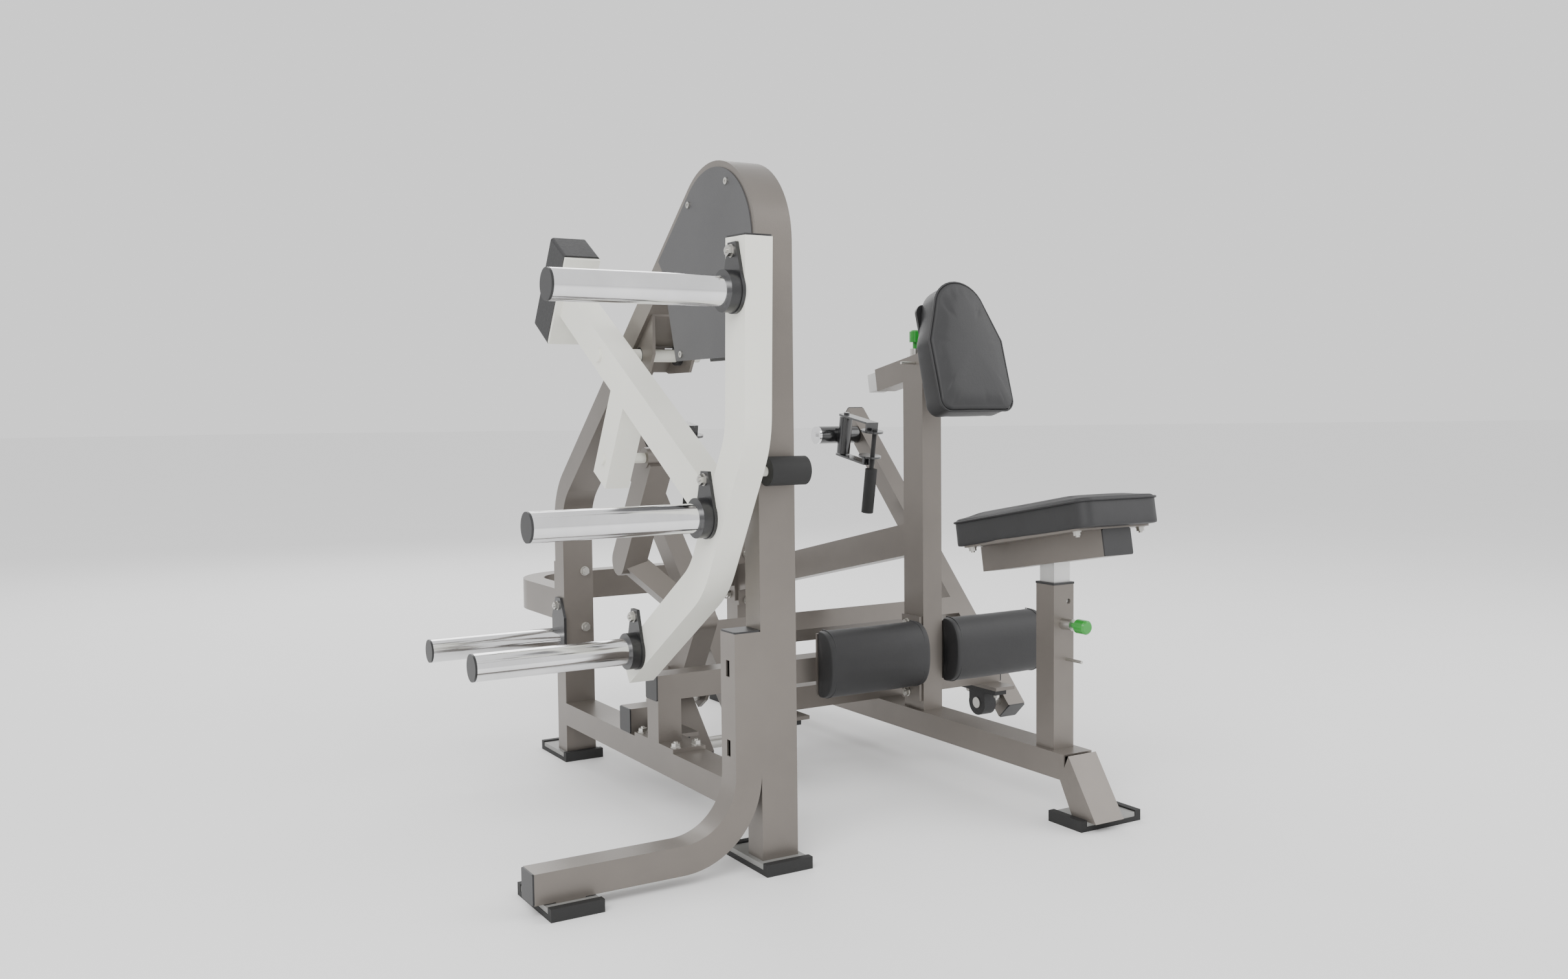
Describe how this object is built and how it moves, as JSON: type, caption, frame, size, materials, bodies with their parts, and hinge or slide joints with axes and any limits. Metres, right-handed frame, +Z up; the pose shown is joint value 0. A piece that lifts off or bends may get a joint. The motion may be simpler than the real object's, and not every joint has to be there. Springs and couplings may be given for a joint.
{
  "type": "plate-loaded seated row machine",
  "caption": "Plate-loaded seated row machine with chest pad, sliding seat, swivelling pull handles, foot pads and a weight lever coupled to the handle arms.",
  "frame": {"origin": "centre of the bounding box at floor level", "axes": "+X across the machine away from the weight side, +Y from the seat towards the back, +Z up"},
  "size_m": [1.445, 1.4874, 1.221],
  "materials": {
    "bronze_paint": "taupe metallic powder coat, slight orange peel",
    "cream_paint": "cream powder coat, fine sandy texture",
    "grey_cover": "dark grey satin sheet",
    "grey_paint": "grey powder coat",
    "black_rubber": "matte moulded rubber",
    "zinc_steel": "zinc plated",
    "cream_pin": "painted steel shaft",
    "chrome": "bright chrome",
    "black_paint": "black powder coat",
    "cast_black": "black painted casting",
    "black_plastic": "moulded black plastic",
    "black_vinyl": "black vinyl with fine grain",
    "black_gloss": "gloss black enamel",
    "satin_steel": "light grey satin",
    "green_plastic": "green moulded knob"
  },
  "bodies": {
    "frame": {"chest_post": "bronze_paint", "chest_sleeve": "bronze_paint", "cover_screws": "zinc_steel", "foot_backings": "bronze_paint", "foot_pad_left": "black_vinyl", "foot_pad_right": "black_vinyl", "foot_plates": "grey_paint", "foot_rail": "bronze_paint", "foot_rubbers": "black_rubber", "frame_bolts": "zinc_steel", "hoop_tower": "bronze_paint", "lever_bearings": "cast_black", "outrigger_tube": "bronze_paint", "pillow_blocks": "cast_black", "pin_housings": "zinc_steel", "pivot_bracket": "bronze_paint", "rear_post": "bronze_paint", "rear_side_tube": "bronze_paint", "seat_outer_post": "bronze_paint", "shaft_bars": "bronze_paint", "spine_brace": "bronze_paint", "spine_tube": "bronze_paint", "stop_pins": "zinc_steel", "storage_flange": "black_paint", "storage_horn": "chrome", "tower_covers": "grey_cover", "tower_lower_beam": "bronze_paint", "tube_caps": "black_plastic"},
    "lever": {"lever_frame": "cream_paint", "lever_cap": "black_plastic", "lever_pins": "cream_pin", "lever_block": "cast_black", "lever_bolts": "zinc_steel", "weight_horns": "chrome", "horn_flanges": "black_paint", "horn_caps": "black_plastic"},
    "roller": {"stop_roller": "black_rubber"},
    "link": {"link_tube": "bronze_paint", "link_lower_pin": "zinc_steel"},
    "handle_arms": {"handle_frame": "bronze_paint", "handle_frame_caps": "black_plastic", "handle_shafts": "zinc_steel"},
    "grip_hub_l": {"grip_hub_left": "black_gloss", "grip_hub_cap_left": "chrome"},
    "grip_hub_r": {"grip_hub_right": "black_gloss", "grip_hub_cap_right": "chrome"},
    "bracket_l": {"grip_bracket_left": "black_gloss"},
    "bracket_r": {"grip_bracket_right": "black_gloss"},
    "handle_l": {"grip_left": "black_rubber"},
    "handle_r": {"grip_right": "black_rubber"},
    "seat": {"seat_inner_post": "satin_steel", "seat_beam": "bronze_paint", "seat_beam_cap": "black_plastic", "seat_cushion": "black_vinyl", "seat_bolts": "zinc_steel"},
    "seat_pin": {"seat_pull_pin": "green_plastic"},
    "chest": {"chest_slide": "satin_steel", "chest_backing": "black_paint", "chest_pad": "black_vinyl"},
    "chest_pin": {"chest_pull_pin": "green_plastic"}
  },
  "joints": [
    {"name": "lever_pivot", "type": "hinge", "parent": "frame", "child": "lever", "pos_m": [-0.3625, -0.0683, 0.896], "axis": [-1, 0, 0], "range_deg": [0, 20]},
    {"name": "roller_spin", "type": "hinge", "parent": "lever", "child": "roller", "pos_m": [-0.2755, -0.5762, 0.684], "axis": [1, 0, 0], "continuous": true},
    {"name": "link_pivot", "type": "hinge", "parent": "lever", "child": "link", "pos_m": [-0.2755, -0.0803, 0.694], "axis": [1, 0, 0], "range_deg": [0, 24.5]},
    {"name": "handle_pivot", "type": "hinge", "parent": "frame", "child": "handle_arms", "pos_m": [0.3405, 0.0147, 0.08], "axis": [1, 0, 0], "range_deg": [0, 23]},
    {"name": "grip_hub_left_swivel", "type": "hinge", "parent": "handle_arms", "child": "grip_hub_l", "pos_m": [0.0725, 0.62268, 0.71621], "axis": [1, 0, 0], "range_deg": [-20, 20]},
    {"name": "grip_hub_right_swivel", "type": "hinge", "parent": "handle_arms", "child": "grip_hub_r", "pos_m": [0.6085, 0.62268, 0.71621], "axis": [1, 0, 0], "range_deg": [-20, 20]},
    {"name": "bracket_left_swing", "type": "hinge", "parent": "grip_hub_l", "child": "bracket_l", "pos_m": [0.0725, 0.58168, 0.71621], "axis": [0, -0.1736, 0.9848], "range_deg": [-15, 15]},
    {"name": "bracket_right_swing", "type": "hinge", "parent": "grip_hub_r", "child": "bracket_r", "pos_m": [0.6085, 0.58168, 0.71621], "axis": [0, -0.1736, 0.9848], "range_deg": [-15, 15]},
    {"name": "grip_left_spin", "type": "hinge", "parent": "bracket_l", "child": "handle_l", "pos_m": [0.0725, 0.44381, 0.6919], "axis": [0, -0.1736, 0.9848], "continuous": true},
    {"name": "grip_right_spin", "type": "hinge", "parent": "bracket_r", "child": "handle_r", "pos_m": [0.6085, 0.44381, 0.6919], "axis": [0, -0.1736, 0.9848], "continuous": true},
    {"name": "seat_height", "type": "slide", "parent": "frame", "child": "seat", "axis": [0, 0, 1], "range_m": [-0.02, 0.12]},
    {"name": "seat_pin_pull", "type": "slide", "parent": "frame", "child": "seat_pin", "axis": [0, -1, 0], "range_m": [0, 0.012], "stiffness_N_per_m": 600},
    {"name": "chest_reach", "type": "slide", "parent": "frame", "child": "chest", "axis": [0, -0.9833, 0.1822], "range_m": [-0.03, 0.08]},
    {"name": "chest_pin_pull", "type": "slide", "parent": "frame", "child": "chest_pin", "axis": [0, 0, 1], "range_m": [0, 0.012], "stiffness_N_per_m": 600}
  ],
  "couplings": [
    {"joint": "handle_pivot", "follows": "lever_pivot", "ratio": 1.1046},
    {"joint": "link_pivot", "follows": "lever_pivot", "ratio": 1.1716}
  ]
}
